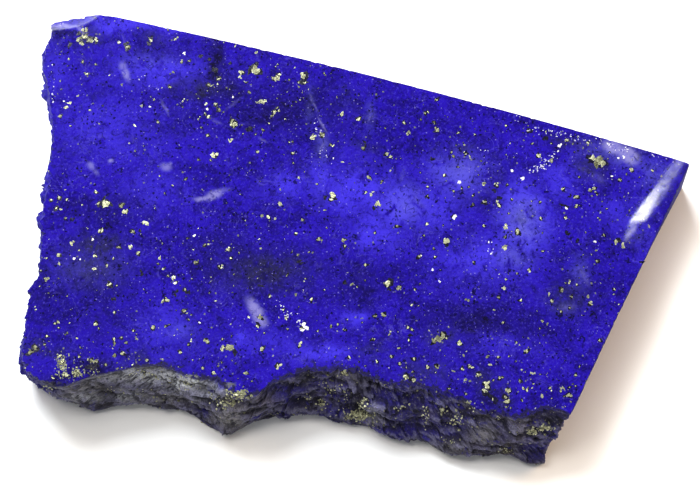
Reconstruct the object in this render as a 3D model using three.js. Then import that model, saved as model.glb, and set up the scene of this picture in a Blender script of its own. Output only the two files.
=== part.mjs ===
// A rough slice of lapis lazuli, one stone in one piece. Units are millimetres, +Z is up.
// It lies on its sawn underside. The upper face is ground flat and polished, the back and the
// right sides are sawn straight, and the left and front sides are the natural broken stone:
// the front one slopes outwards in ledges, so the foot of the stone reaches beyond the polish.
import * as THREE from "three";
import { mergeVertices } from "three/addons/utils/BufferGeometryUtils.js";

// Driving dimensions
const THICKNESS = 6.5; // underside to polished face
const FOOT_HEIGHT = 1.0; // height at which the broken sides reach furthest out
const FOOT_TUCK = 0.35; // how far the broken sides draw back in below that
const BACK_BOW = 0.65; // how far the sawn back bulges from a straight line
const CORNER_RADIUS = 0.25; // back right corner, seen from above
const RIGHT_LEAN = 1.2; // how far the foot of the sawn right side sits in from its rim
const ARRIS = 0.22; // worn edge between the polished face and the sides

// The polished face rolls off near the back right corner, to the right of a slanting line. The
// drop grows with the square of the distance from the line, and fades out towards its front end.
const ROLL_LINE = { back: [29.2, 8.8], front: [24.9, 3.1] };
const ROLL_CURVE = 0.03;
const ROLL_FADE = [-4.5, 1.0]; // behind the line's front end, where it starts and where it is full

// Dents in the polished face, seen from above: a chip that falls away to the back at the back
// left corner, and flakes off the front edge.
const FACE_DENTS = [
  { centre: [-28.4, 24.0], reach: [4.0, 2.0], depth: 0.6 },
  { centre: [-13.2, -14.3], reach: [2.2, 1.3], depth: 0.5 },
  { centre: [13.0, -17.4], reach: [1.5, 1.4], depth: 0.6 },
  { centre: [19.0, -17.3], reach: [1.8, 1.5], depth: 0.55 },
];

// Natural sides, from the back left corner down the left side and along the front to the front
// right corner. Each row is one place on the edge: rim x and y at the polish, foot x and y.
const NATURAL_EDGE = [
  [-28.7, 22.6, -28.4, 22.4],
  [-28.8, 21.3, -28.6, 21.2],
  [-29.2, 19.8, -29.2, 19.6],
  [-29.4, 18.1, -29.5, 18.0],
  [-29.0, 16.1, -29.2, 16.0],
  [-28.6, 14.4, -28.7, 14.4],
  [-28.4, 12.4, -28.2, 12.4],
  [-28.2, 10.4, -28.1, 10.3],
  [-28.4, 8.0, -28.5, 8.0],
  [-28.6, 5.0, -28.9, 5.1],
  [-29.0, 2.2, -29.2, 2.1],
  [-28.7, -0.7, -28.9, -0.6],
  [-29.0, -2.8, -28.9, -2.9],
  [-29.7, -4.2, -29.5, -4.2],
  [-29.9, -5.8, -29.8, -5.8],
  [-30.1, -8.3, -30.1, -8.2],
  [-30.2, -10.8, -30.1, -10.5],
  [-29.5, -12.4, -29.7, -11.8],
  [-28.3, -13.3, -28.4, -12.8],
  [-26.3, -13.7, -26.6, -13.6],
  [-24.1, -12.9, -24.3, -14.0],
  [-22.0, -12.4, -22.0, -13.9],
  [-20.0, -12.0, -19.9, -14.1],
  [-18.0, -11.8, -17.6, -14.3],
  [-16.4, -12.3, -15.5, -14.6],
  [-14.8, -13.1, -14.0, -15.2],
  [-13.0, -13.8, -12.6, -16.0],
  [-11.6, -14.4, -11.3, -16.5],
  [-10.0, -14.6, -10.2, -16.3],
  [-8.6, -14.5, -9.0, -15.5],
  [-7.4, -13.6, -7.4, -14.9],
  [-5.4, -12.7, -5.4, -14.7],
  [-2.9, -12.4, -3.2, -14.9],
  [-0.6, -12.5, -1.0, -15.5],
  [1.8, -13.0, 1.4, -16.3],
  [4.0, -13.7, 3.8, -17.2],
  [6.0, -13.6, 6.0, -17.5],
  [8.2, -14.3, 8.2, -18.3],
  [10.4, -15.1, 10.6, -18.8],
  [12.2, -16.3, 12.8, -18.7],
  [14.6, -16.7, 15.0, -18.9],
  [16.4, -16.5, 16.6, -19.4],
  [18.0, -15.9, 17.5, -19.5],
  [20.0, -16.4, 18.3, -19.2],
];
const FIRST_FRONT_ROW = 19; // rows from here on belong to the front
const BACK_RIGHT_CORNER = [31.9, 8.1];
const BACK_LEFT_END = [-24.2, 23.45];
const BACK_LEFT_BEND = [-27.0, 23.3];

// Faceting: places along each stretch of the edge, and levels down the sides.
const PLACES_PER_LEFT_ROW = 3;
const PLACES_PER_FRONT_ROW = 5;
const RIGHT_PLACES = 16;
const CORNER_PLACES = 4;
const BACK_PLACES = 34;
const BACK_LEFT_PLACES = 4;
const SIDE_LEVELS = [5.9, 5.3, 4.7, 4.1, 3.5, 2.9, 2.3, 1.7, FOOT_HEIGHT, 0.45];
const FACE_RINGS = [ARRIS, 0.55, 1.0, 1.6, 2.4, 3.4, 4.6]; // distances in from the rim
const CENTRE = [0.5, 2.5]; // the middle that the rings close in on

// Relief of the broken sides
const LUMP = { size: 3.4, height: 0.42 };
const CHUNK = { size: 1.25, height: 0.24 };
const SAW_LUMP = { size: 9.0, height: 0.05 };
const LEDGES = [
  { height: 4.7, wander: 0.9, share: 0.36, width: 0.6 },
  { height: 2.3, wander: 0.7, share: 0.3, width: 0.55 },
];

// Ridges and hollows of the broken front, each along a line between two points given as
// [across, height]. A hollow has a negative relief.
const FRONT_FORMS = [
  { from: [-9.5, 2.9], to: [-1.9, 5.9], width: 0.6, relief: 0.42 },
  { from: [-8.8, 4.5], to: [-4.8, 6.1], width: 0.45, relief: 0.34 },
  { from: [1.4, 4.0], to: [5.8, 4.8], width: 0.6, relief: 0.36 },
  { from: [7.2, 5.4], to: [10.4, 4.9], width: 0.8, relief: 0.36 },
  { from: [9.8, 2.0], to: [15.2, 4.4], width: 0.95, relief: 0.42 },
  { from: [16.6, 4.0], to: [19.6, 4.6], width: 0.5, relief: 0.3 },
  { from: [-11.3, 0.9], to: [-11.7, 4.2], width: 0.9, relief: 0.36 },
  { from: [-26.6, 3.1], to: [-24.9, 2.2], width: 1.1, relief: 0.4 },
  { from: [-20.4, 4.6], to: [-15.6, 4.9], width: 0.8, relief: 0.3 },
  { from: [-23.4, 2.6], to: [-22.2, 2.7], width: 0.9, relief: -0.55 },
  { from: [-13.4, 5.5], to: [-12.0, 5.2], width: 0.7, relief: -0.4 },
  { from: [-8.2, 5.3], to: [-6.8, 5.6], width: 0.5, relief: -0.42 },
  { from: [-4.9, 5.4], to: [-2.9, 5.7], width: 0.45, relief: -0.4 },
  { from: [0.1, 2.6], to: [1.3, 2.3], width: 0.95, relief: -0.6 },
  { from: [1.6, 5.2], to: [3.6, 5.3], width: 0.5, relief: -0.5 },
  { from: [5.8, 3.6], to: [6.4, 3.3], width: 0.75, relief: -0.5 },
  { from: [9.0, 3.6], to: [10.6, 3.5], width: 0.8, relief: -0.5 },
  { from: [12.4, 5.9], to: [14.0, 5.6], width: 0.8, relief: -0.5 },
  { from: [18.2, 5.6], to: [19.6, 5.3], width: 0.8, relief: -0.5 },
];

// Repeatable noise between -1 and 1, smooth over a distance of 1.
function hash(x, y, z) {
  const h = Math.sin(x * 127.1 + y * 311.7 + z * 74.7) * 43758.5453;
  return (h - Math.floor(h)) * 2 - 1;
}

function noise(x, y, z) {
  const [x0, y0, z0] = [x, y, z].map(Math.floor);
  const [u, v, w] = [x - x0, y - y0, z - z0].map((t) => t * t * (3 - 2 * t));
  const row = (j, k) => THREE.MathUtils.lerp(hash(x0, y0 + j, z0 + k), hash(x0 + 1, y0 + j, z0 + k), u);
  const layer = (k) => THREE.MathUtils.lerp(row(0, k), row(1, k), v);
  return THREE.MathUtils.lerp(layer(0), layer(1), w);
}

function relief({ size, height }, x, y, z) {
  return height * noise(x / size, y / size, z / size);
}

// A place on the edge: rim and foot seen from above, and how broken the side is there, 0 to 1.
function place(rimX, rimY, footX, footY, broken, front) {
  return { rim: new THREE.Vector2(rimX, rimY), foot: new THREE.Vector2(footX, footY), broken, front };
}

function naturalPlaces() {
  const rims = new THREE.CatmullRomCurve3(NATURAL_EDGE.map(([x, y]) => new THREE.Vector3(x, y, 0)));
  const feet = new THREE.CatmullRomCurve3(NATURAL_EDGE.map(([, , x, y]) => new THREE.Vector3(x, y, 0)));
  const last = NATURAL_EDGE.length - 1;
  const places = [];
  for (let row = 0; row < last; row++) {
    const front = row >= FIRST_FRONT_ROW;
    const count = front ? PLACES_PER_FRONT_ROW : PLACES_PER_LEFT_ROW;
    for (let k = 0; k < count; k++) {
      const along = (row + k / count) / last;
      const rim = rims.getPoint(along);
      const foot = feet.getPoint(along);
      const toRight = Math.min(1, (last - along * last) / 2); // the saw cut trims the last stretch flat
      const toFront = THREE.MathUtils.smoothstep(along * last, FIRST_FRONT_ROW - 4, FIRST_FRONT_ROW + 2);
      places.push(place(rim.x, rim.y, foot.x, foot.y, toRight, toFront));
    }
  }
  return places;
}

// The sawn right side: straight from the front right corner to the back right one, and leaning
// in under the rim, most at the front.
function rightPlaces() {
  const [rimX, rimY, footX, footY] = NATURAL_EDGE.at(-1);
  const rim = new THREE.Vector2(rimX, rimY);
  const corner = new THREE.Vector2(...BACK_RIGHT_CORNER);
  const along = corner.clone().sub(rim).normalize();
  const foot = rim.clone().addScaledVector(along, along.dot(new THREE.Vector2(footX, footY).sub(rim)));
  const end = corner.clone().addScaledVector(along, -CORNER_RADIUS);
  const inwards = new THREE.Vector2(-along.y, along.x);
  const places = [];
  for (let k = 0; k < RIGHT_PLACES; k++) {
    const r = rim.clone().lerp(end, k / RIGHT_PLACES);
    const lean = RIGHT_LEAN * (1 - k / RIGHT_PLACES);
    const f = foot.clone().lerp(end, k / RIGHT_PLACES).addScaledVector(inwards, lean);
    places.push(place(r.x, r.y, f.x, f.y, 0, k === 0 ? 1 : 0));
  }
  return places;
}

// The back right corner and the sawn back, bowed a little outwards.
function backPlaces() {
  const corner = new THREE.Vector2(...BACK_RIGHT_CORNER);
  const [rimX, rimY] = NATURAL_EDGE.at(-1);
  const fromRight = corner.clone().sub(new THREE.Vector2(rimX, rimY)).normalize();
  const left = new THREE.Vector2(...BACK_LEFT_END);
  const alongBack = left.clone().sub(corner).normalize();
  const start = corner.clone().addScaledVector(fromRight, -CORNER_RADIUS);
  const end = corner.clone().addScaledVector(alongBack, CORNER_RADIUS);
  const outwards = new THREE.Vector2(alongBack.y, -alongBack.x);
  const middle = end.clone().lerp(left, 0.5).addScaledVector(outwards, 2 * BACK_BOW);
  const turn = new THREE.QuadraticBezierCurve(start, corner, end);
  const back = new THREE.QuadraticBezierCurve(end, middle, left);
  const [leftX, leftY] = NATURAL_EDGE[0];
  const bend = new THREE.Vector2(...BACK_LEFT_BEND);
  const close = new THREE.QuadraticBezierCurve(left, bend, new THREE.Vector2(leftX, leftY));
  const places = [];
  const follow = (curve, count, broken) => {
    for (let k = 0; k < count; k++) {
      const p = curve.getPoint(k / count);
      places.push(place(p.x, p.y, p.x, p.y, broken, 0));
    }
  };
  follow(turn, CORNER_PLACES, 0);
  follow(back, BACK_PLACES, 0);
  follow(close, BACK_LEFT_PLACES, 0.5);
  return places;
}

const PLACES = [...naturalPlaces(), ...rightPlaces(), ...backPlaces()];

// The outward direction of the edge at each place, from its neighbours.
PLACES.forEach((here, i) => {
  const before = PLACES.at(i - 1).rim;
  const after = PLACES[(i + 1) % PLACES.length].rim;
  here.outwards = new THREE.Vector2(after.y - before.y, before.x - after.x).normalize();
});

// How far down from rim to foot the side has moved out at height z, 0 to 1 and a little back.
function share(here, z) {
  const { x, y } = here.rim;
  const down = (THICKNESS - z) / (THICKNESS - FOOT_HEIGHT);
  const stepped = LEDGES.reduce((sum, ledge, i) => {
    const height = ledge.height + ledge.wander * noise(x / 5.5, y / 5.5, 7.3 + 5 * i);
    return sum + ledge.share * THREE.MathUtils.smoothstep(height + ledge.width - z, 0, 2 * ledge.width);
  }, 0);
  const plain = 1 - LEDGES.reduce((sum, ledge) => sum + ledge.share, 0);
  return Math.min(1, stepped + plain * Math.min(1, down));
}

// Ridges and hollows of the front at a height, as a push outwards.
function frontForms(x, z) {
  const at = new THREE.Vector3(x, z, 0);
  return FRONT_FORMS.reduce((sum, form) => {
    const line = new THREE.Line3(new THREE.Vector3(...form.from, 0), new THREE.Vector3(...form.to, 0));
    const nearest = line.closestPointToPoint(at, true, new THREE.Vector3());
    const inside = Math.max(0, 1 - (nearest.distanceTo(at) / form.width) ** 2);
    return sum + form.relief * inside ** 1.5;
  }, 0);
}

function sidePoint(here, z) {
  const moved = here.rim.clone().lerp(here.foot, here.front > 0 ? share(here, z) : (THICKNESS - z) / THICKNESS);
  const { x, y } = moved;
  const fade = THREE.MathUtils.smoothstep(THICKNESS - z, 0, 0.9) * 0.8 + 0.2;
  const rough = relief(LUMP, x, y, 1.6 * z) + relief(CHUNK, x, y, 1.4 * z);
  const sawn = relief(SAW_LUMP, x, y, z);
  const tuck = z < FOOT_HEIGHT ? FOOT_TUCK * (1 - z / FOOT_HEIGHT) ** 2 : 0;
  const forms = here.front * frontForms(x, z);
  const out = here.broken * (fade * rough + forms - tuck) + (1 - here.broken) * sawn;
  return new THREE.Vector3(x, y, z).add(new THREE.Vector3(here.outwards.x, here.outwards.y, 0).multiplyScalar(out));
}

// Height of the upper face: flat polish, less the roll-off on the right and the dents.
function faceHeight(x, y) {
  const front = new THREE.Vector2(...ROLL_LINE.front);
  const along = new THREE.Vector2(...ROLL_LINE.back).sub(front).normalize();
  const here = new THREE.Vector2(x, y).sub(front);
  const beyond = Math.max(0, here.cross(along));
  const roll = ROLL_CURVE * beyond ** 2 * THREE.MathUtils.smoothstep(here.dot(along), ...ROLL_FADE);
  const dents = FACE_DENTS.reduce((sum, { centre, reach, depth }) => {
    const away = Math.hypot((x - centre[0]) / reach[0], (y - centre[1]) / reach[1]);
    return sum + depth * Math.max(0, 1 - away ** 2);
  }, 0);
  return THICKNESS - roll - dents;
}

function facePoint(here, inset) {
  const rim = sidePoint(here, THICKNESS);
  const centre = new THREE.Vector3(...CENTRE, THICKNESS);
  const p = rim.clone().addScaledVector(centre.sub(rim).normalize(), inset);
  return new THREE.Vector3(p.x, p.y, faceHeight(p.x, p.y) - (inset === 0 ? ARRIS : 0));
}

// Closed rings of points from the middle of the polish out, down the side and in under the stone.
// Where a dent lowers the rim, the levels below it close up to match.
function rings() {
  const face = [...FACE_RINGS].reverse().map((inset) => PLACES.map((p) => facePoint(p, inset)));
  const rim = PLACES.map((p) => facePoint(p, 0));
  const side = SIDE_LEVELS.map((level) => PLACES.map((p, i) => sidePoint(p, (level * rim[i].z) / THICKNESS)));
  const underside = PLACES.map((p) => sidePoint(p, 0));
  return [...face, rim, ...side, underside];
}

function stoneGeometry() {
  const loops = rings();
  const count = PLACES.length;
  const corners = loops.flat();
  const topCentre = corners.push(new THREE.Vector3(...CENTRE, THICKNESS)) - 1;
  const bottomCentre = corners.push(new THREE.Vector3(...CENTRE, 0)) - 1;
  const faces = [];
  for (let i = 0; i < count; i++) {
    const next = (i + 1) % count;
    faces.push(topCentre, i, next);
    for (let ring = 0; ring + 1 < loops.length; ring++) {
      const a = ring * count + i;
      const b = ring * count + next;
      faces.push(a, a + count, b, b, a + count, b + count);
    }
    const last = (loops.length - 1) * count;
    faces.push(bottomCentre, last + next, last + i);
  }
  const geometry = new THREE.BufferGeometry().setFromPoints(corners).setIndex(faces);
  return mergeVertices(geometry, 1e-4);
}

// The origin is the middle of the stone's box, at the height of its underside.
function centred(geometry) {
  geometry.computeBoundingBox();
  const middle = geometry.boundingBox.getCenter(new THREE.Vector3());
  geometry.translate(-middle.x, -middle.y, 0);
  geometry.computeVertexNormals();
  return geometry;
}

const stone = new THREE.Mesh(
  centred(stoneGeometry()),
  new THREE.MeshStandardMaterial({ color: 0x3428b3, roughness: 0.3, metalness: 0 }),
);
stone.name = "lapis_slice";

const slice = new THREE.Group();
slice.add(stone);
export default slice;
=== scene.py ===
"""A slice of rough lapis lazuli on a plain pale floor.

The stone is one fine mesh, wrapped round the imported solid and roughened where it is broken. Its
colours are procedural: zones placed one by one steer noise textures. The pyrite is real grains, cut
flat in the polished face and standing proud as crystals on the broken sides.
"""

import math
import random

import bpy
import numpy as np
from mathutils import Matrix, Vector, noise
from mathutils.bvhtree import BVHTree
from mathutils.geometry import delaunay_2d_cdt


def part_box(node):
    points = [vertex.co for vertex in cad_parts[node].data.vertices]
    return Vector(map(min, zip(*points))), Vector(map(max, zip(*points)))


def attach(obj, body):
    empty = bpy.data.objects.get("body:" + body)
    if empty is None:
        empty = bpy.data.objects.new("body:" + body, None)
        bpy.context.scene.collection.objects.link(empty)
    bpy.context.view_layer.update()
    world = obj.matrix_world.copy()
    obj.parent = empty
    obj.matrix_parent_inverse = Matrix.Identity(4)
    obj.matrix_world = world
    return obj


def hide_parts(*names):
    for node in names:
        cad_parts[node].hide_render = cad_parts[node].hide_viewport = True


MM = 0.001
NODE = "lapis_slice"

# Without a seed the vectors of noise differ from run to run, and the stone with them.
NOISE_SEED = 11
GRAIN_SEED = 71
noise.seed_set(NOISE_SEED)

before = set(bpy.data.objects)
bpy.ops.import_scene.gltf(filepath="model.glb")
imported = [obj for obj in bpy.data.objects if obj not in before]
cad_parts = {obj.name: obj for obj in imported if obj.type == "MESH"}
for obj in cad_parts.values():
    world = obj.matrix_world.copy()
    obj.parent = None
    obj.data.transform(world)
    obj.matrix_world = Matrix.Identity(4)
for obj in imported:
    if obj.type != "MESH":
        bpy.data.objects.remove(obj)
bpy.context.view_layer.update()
LOW, HIGH = (np.array(corner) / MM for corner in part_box(NODE))
THICKNESS = HIGH[2]

# The photograph: 700 by 489 pixels, taken from the front at a steep angle with a long lens.
IMAGE_WIDTH = 700
IMAGE_HEIGHT = 489
FACE_MM_PER_PIXEL = 0.0928  # scale at the middle of the polished face
CAMERA_ELEVATION = math.radians(71.0)
CAMERA_DISTANCE = 240.0
CAMERA_AIM = np.array([-0.65, -2.1, THICKNESS])
SENSOR_WIDTH = 36.0

# Places on the stone, seen from above: the corners where sawn sides meet broken ones, and the
# line on the polish from which it rolls off towards the back right corner.
FRONT_RIGHT = (19.4, -18.5)
BACK_LEFT = (-24.9, 21.4)
CHIP = (-29.05, 21.9)
CHIP_REACH = (4.0, 2.0)
CHIP_DEPTH = 0.6
ROLL_FRONT = np.array([24.25, 1.0])
ROLL_BACK = np.array([28.55, 6.7])
ROLL_CURVE = 0.03
ROLL_FADE = (-4.5, 1.0)
LEFT_CORNER = (-26.0, -15.8)  # left of and behind this the broken stone is as blue as the polish

# Fine mesh, in millimetres
COLUMNS = 1010  # round the stone
SURVEY = 2880  # directions in which the solid's outline is measured
FRONT_WEIGHT = 1.9  # how much closer columns stand on the broken front
FRONT_LIMIT = -9.0  # the front is where y is below this
CORNER_BLUR = 9  # over how many columns a sawn side turns into a broken one
ROWS = 38  # down the sides
OUTSIDE = 80.0  # further from the middle than any of the stone
ABOVE = 20.0  # higher than any of the stone
SMOOTHINGS = 3  # of the broken sides, which takes the solid's facets off them
SLOPE_TOP = 0.8  # a sawn side's slope is read between two shares of its height
SLOPE_FOOT = 0.5
SLOPE_SPAN = 0.3
EDGE_BITE = 0.12  # the sides start this far under the polish
FACE_SINK = 0.02  # the stone's face stays this far under the solid's, which leaves room for grains
FACE_STEP = 0.205  # between the points that fill the polish
FACE_CLEARANCE = 0.15  # between those points and the rim
UNDERSIDE_STEP = 1.6
UNDERSIDE_CLEARANCE = 0.6
ARRIS = 0.07
RIM_FADE = 0.6  # how far polish and fracture run into each other
CREST_HEIGHT = 0.17  # how far a full crest stands out from its surroundings
CREST_BLUR = 9  # how many times the surroundings are averaged
BOX_MARGIN = 0.015

# What colours are multiplied by, so that they show as they are meant to: the polish and what is
# in it are well lit, and the broken stone is in shade.
FACE_LIGHT = 0.465
BRIGHT_LIGHT = 0.46
PYRITE_LIGHT = 0.62
CALCITE_LIGHT = 0.6
SIDE_LIGHT = 1.1

# Colour zones on the polish. Each is a soft ellipse: centre across and down, half width and half
# height, all in pixels of the photograph, and strength.
# The dark zone at the back left corner is painted shade in the hollow there; the others are darker stone.
DARK_ZONES = [
    (285, 110, 45, 22, 0.75), (258, 118, 14, 12, 0.7), (215, 66, 8, 24, 0.95), (215, 92, 30, 13, 0.7),
    (190, 92, 45, 9, 0.35), (160, 48, 22, 9, 0.35), (298, 165, 6, 14, 0.4), (325, 197, 8, 8, 0.5),
    (262, 268, 42, 22, 0.7), (276, 272, 24, 14, 0.5), (210, 248, 30, 16, 0.35), (115, 210, 35, 15, 0.4),
    (95, 245, 30, 12, 0.45), (95, 270, 35, 22, 0.35), (38, 295, 14, 12, 0.5), (92, 290, 20, 10, 0.45),
    (360, 285, 25, 17, 0.6), (480, 322, 36, 17, 0.85), (518, 325, 16, 14, 0.55), (434, 319, 22, 14, 0.5),
    (493, 185, 14, 20, 0.35), (645, 150, 15, 6, 0.5), (575, 290, 25, 24, 0.45), (65, 33, 17, 5, 0.9),
    (92, 370, 17, 9, 1.0), (60, 380, 26, 7, 0.9), (205, 384, 12, 6, 0.5), (490, 398, 10, 10, 0.8),
    (120, 275, 10, 9, 0.4), (95, 318, 45, 24, 0.32), (485, 282, 22, 12, 0.25),
    (345, 125, 30, 16, 0.3), (180, 128, 34, 10, 0.25), (604, 215, 8, 20, 0.2),
]
OLIVE_ZONES = [
    (262, 272, 40, 18, 0.6), (95, 245, 24, 10, 0.6), (92, 268, 30, 18, 0.45), (200, 88, 22, 9, 0.5),
    (375, 347, 15, 8, 0.5), (430, 372, 20, 12, 0.55), (520, 216, 14, 8, 0.4), (594, 165, 16, 12, 0.65),
    (568, 143, 16, 5, 0.5), (635, 241, 10, 6, 0.6), (462, 154, 12, 6, 0.5), (360, 147, 16, 6, 0.4),
    (440, 338, 12, 8, 0.6), (35, 350, 12, 8, 0.7), (506, 396, 8, 12, 0.7), (485, 384, 8, 9, 0.55),
    (565, 300, 18, 12, 0.45), (90, 35, 9, 8, 0.8), (140, 364, 26, 8, 0.5), (60, 355, 14, 8, 0.5),
    (160, 40, 12, 6, 0.3), (410, 378, 10, 6, 0.5), (345, 100, 10, 10, 0.25),
]
BRIGHT_ZONES = [
    (130, 25, 48, 8, 0.8), (160, 72, 45, 12, 0.55), (110, 130, 50, 28, 0.35), (285, 190, 18, 12, 0.55),
    (322, 182, 22, 18, 0.6), (358, 190, 34, 20, 0.75), (402, 205, 18, 18, 1.0), (375, 232, 20, 18, 0.7),
    (522, 215, 22, 28, 0.95), (526, 239, 10, 12, 0.7), (480, 262, 36, 22, 0.6), (322, 355, 25, 10, 0.8),
    (355, 319, 10, 7, 0.7), (242, 338, 10, 8, 0.7), (165, 330, 30, 20, 0.4),
    (620, 215, 22, 16, 0.35), (645, 243, 12, 16, 0.45),
    (150, 190, 30, 18, 0.3), (460, 175, 25, 18, 0.5), (558, 180, 20, 14, 0.4), (200, 70, 10, 8, 0.4),
    (430, 210, 26, 22, 0.5), (55, 70, 14, 30, 0.3), (500, 345, 30, 10, 0.3), (270, 345, 40, 12, 0.3),
]
# The two strongest lilac zones, by the back edge near the right corner, are a painted highlight; the others
# are paler stone.
LILAC_ZONES = [
    (523, 222, 15, 20, 0.8), (460, 172, 22, 16, 0.5), (512, 257, 16, 10, 0.45), (405, 205, 16, 14, 0.45),
    (150, 60, 22, 6, 0.3), (322, 145, 5, 14, 0.45),
    (310, 105, 4, 14, 0.45), (580, 275, 8, 16, 0.35), (565, 307, 10, 5, 0.4), (370, 115, 4, 12, 0.3),
    (180, 330, 12, 6, 0.2), (90, 268, 26, 14, 0.3), (594, 150, 14, 8, 0.3), (613, 149, 9, 7, 1.0),
    (628, 156, 11, 8, 1.0), (650, 172, 14, 12, 0.35),
]

# Calcite in the polish, and painted light on it: the thin streaks are calcite, the soft pale blobs
# are painted reflections, and the strong spots by the back edge near the right corner and at the
# back left corner are painted highlights on paler chipped stone. Centre across and down, half
# length and half width in pixels, turn in degrees clockwise from level, and strength.
CALCITE_AND_REFLECTION_SMUDGES = [
    (256, 311, 14, 5.5, 58, 0.9), (260, 319, 9, 6.0, 50, 0.8), (203, 198.5, 9, 2.6, -4, 0.8),
    (214, 195, 10, 4.0, -24, 0.85), (224, 190, 7, 3.0, -12, 0.4), (123, 66, 4, 4.5, 0, 0.55),
    (126, 74, 7, 3.6, 70, 0.7), (91, 166, 4.5, 3.5, 60, 0.6), (96, 172, 5, 2.4, 50, 0.45),
    (166, 167, 6, 4.0, 10, 0.6), (169, 164, 3, 2.0, -30, 0.7), (111, 161, 2.6, 1.6, 0, 0.8),
    (165, 108, 9, 1.5, 62, 0.5), (216, 121, 8, 1.6, 26, 0.35), (263, 140, 6, 1.5, 35, 0.4),
    (314, 104, 12, 1.2, 65, 0.4), (322, 124, 10, 1.4, 62, 0.5), (370, 116, 9, 1.4, -70, 0.35),
    (232, 105, 12, 1.8, -40, 0.3), (322, 146, 5, 1.2, -60, 0.4), (584, 276, 14, 2.6, 62, 0.3),
    (566, 307, 9, 2.6, 0, 0.3), (613, 147, 10, 6.0, 20, 1.0), (628, 155, 11, 7.0, 35, 1.0),
    (62, 26, 15, 2.0, 2, 0.8), (81, 30, 7, 2.2, 40, 0.7), (86, 35, 6, 2.6, 60, 0.5),
    (598, 178, 10, 5.0, 30, 0.25), (580, 168, 12, 3.5, 30, 0.2), (590, 145, 8, 2.0, 15, 0.3),
    (403, 174, 9, 3.0, -75, 0.25), (466, 168, 12, 6.0, -20, 0.2),
]

# Zones of the broken front, in the same form as those of the polish
CRUST_ZONES = [
    (150, 376, 40, 7, 0.7), (185, 382, 18, 7, 1.0), (208, 392, 14, 7, 0.5), (230, 386, 12, 5, 0.5),
    (130, 371, 12, 5, 0.5), (90, 397, 20, 4, 0.4), (125, 396, 12, 5, 0.4), (372, 415, 10, 7, 0.25),
]
GREY_ZONES = [
    (78, 390, 20, 11, 0.9), (160, 398, 40, 8, 0.7), (231, 417, 16, 15, 1.0), (262, 400, 16, 8, 0.5),
    (480, 436, 16, 9, 0.8), (452, 445, 30, 8, 0.35), (508, 412, 12, 7, 0.5), (390, 378, 14, 5, 0.5),
    (345, 376, 16, 6, 0.4), (520, 430, 20, 8, 0.5),
]
BLUE_ZONES = [
    (332, 412, 16, 10, 0.8), (395, 400, 20, 12, 0.7), (435, 398, 16, 10, 0.8), (448, 430, 24, 8, 0.6),
    (375, 432, 14, 6, 0.7), (550, 436, 10, 8, 0.8), (215, 392, 9, 5, 0.7), (540, 448, 14, 10, 0.6),
    (425, 425, 22, 12, 0.6), (400, 425, 22, 14, 0.5), (25, 350, 8, 14, 0.8), (130, 385, 12, 5, 0.3),
    (36, 378, 16, 8, 0.9), (280, 392, 24, 12, 0.8), (320, 384, 14, 6, 0.5), (400, 412, 26, 10, 0.5),
]
# Nearly black: dark stone, and painted shade in the pits and recesses of the front.
BLACK_AND_SHADE_ZONES = [
    (106, 392, 8, 5, 1.0), (52, 384, 14, 5, 0.8), (356, 405, 9, 7, 0.9), (488, 408, 9, 9, 0.9),
    (553, 420, 9, 8, 0.9), (264, 391, 7, 4, 0.7), (285, 384, 7, 4, 0.7), (305, 378, 7, 4, 0.7),
    (300, 402, 18, 8, 0.5), (466, 405, 14, 8, 0.5), (447, 422, 9, 6, 0.6), (230, 402, 12, 4, 0.5),
    (320, 430, 20, 4, 0.4), (235, 428, 8, 4, 0.5), (420, 440, 14, 5, 0.4), (414, 412, 7, 5, 0.6),
]
BROWN_ZONES = [
    (508, 450, 12, 7, 0.9), (318, 404, 12, 7, 0.7), (104, 394, 14, 8, 0.5), (235, 398, 18, 6, 0.5),
    (428, 416, 6, 10, 0.5), (372, 420, 14, 8, 0.5), (470, 450, 14, 5, 0.4),
]

# Dusty pyrite, on the polish and on the front alike
GOLD_ZONES = [
    (62, 364, 8, 10, 1.0), (78, 372, 6, 8, 0.8), (92, 360, 10, 5, 0.6), (35, 350, 12, 6, 0.7),
    (140, 363, 18, 8, 0.8), (188, 380, 16, 6, 0.5), (218, 368, 14, 12, 0.4), (240, 394, 16, 6, 1.0),
    (224, 404, 10, 5, 0.8), (346, 373, 8, 5, 0.7), (335, 389, 14, 6, 0.5), (360, 414, 16, 10, 1.0),
    (321, 404, 8, 6, 0.6), (400, 408, 8, 3, 0.5), (426, 416, 4, 11, 0.5), (459, 421, 7, 8, 0.6),
    (542, 430, 16, 4, 0.9), (506, 449, 14, 6, 0.4), (506, 396, 6, 10, 0.7), (485, 385, 8, 8, 0.7),
    (440, 338, 9, 6, 0.6), (417, 383, 9, 6, 0.6), (408, 377, 7, 5, 0.5), (85, 37, 10, 7, 0.6),
    (104, 204, 9, 4, 0.5), (568, 142, 14, 6, 0.3), (500, 203, 14, 8, 0.3), (453, 440, 12, 4, 0.3),
]
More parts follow.
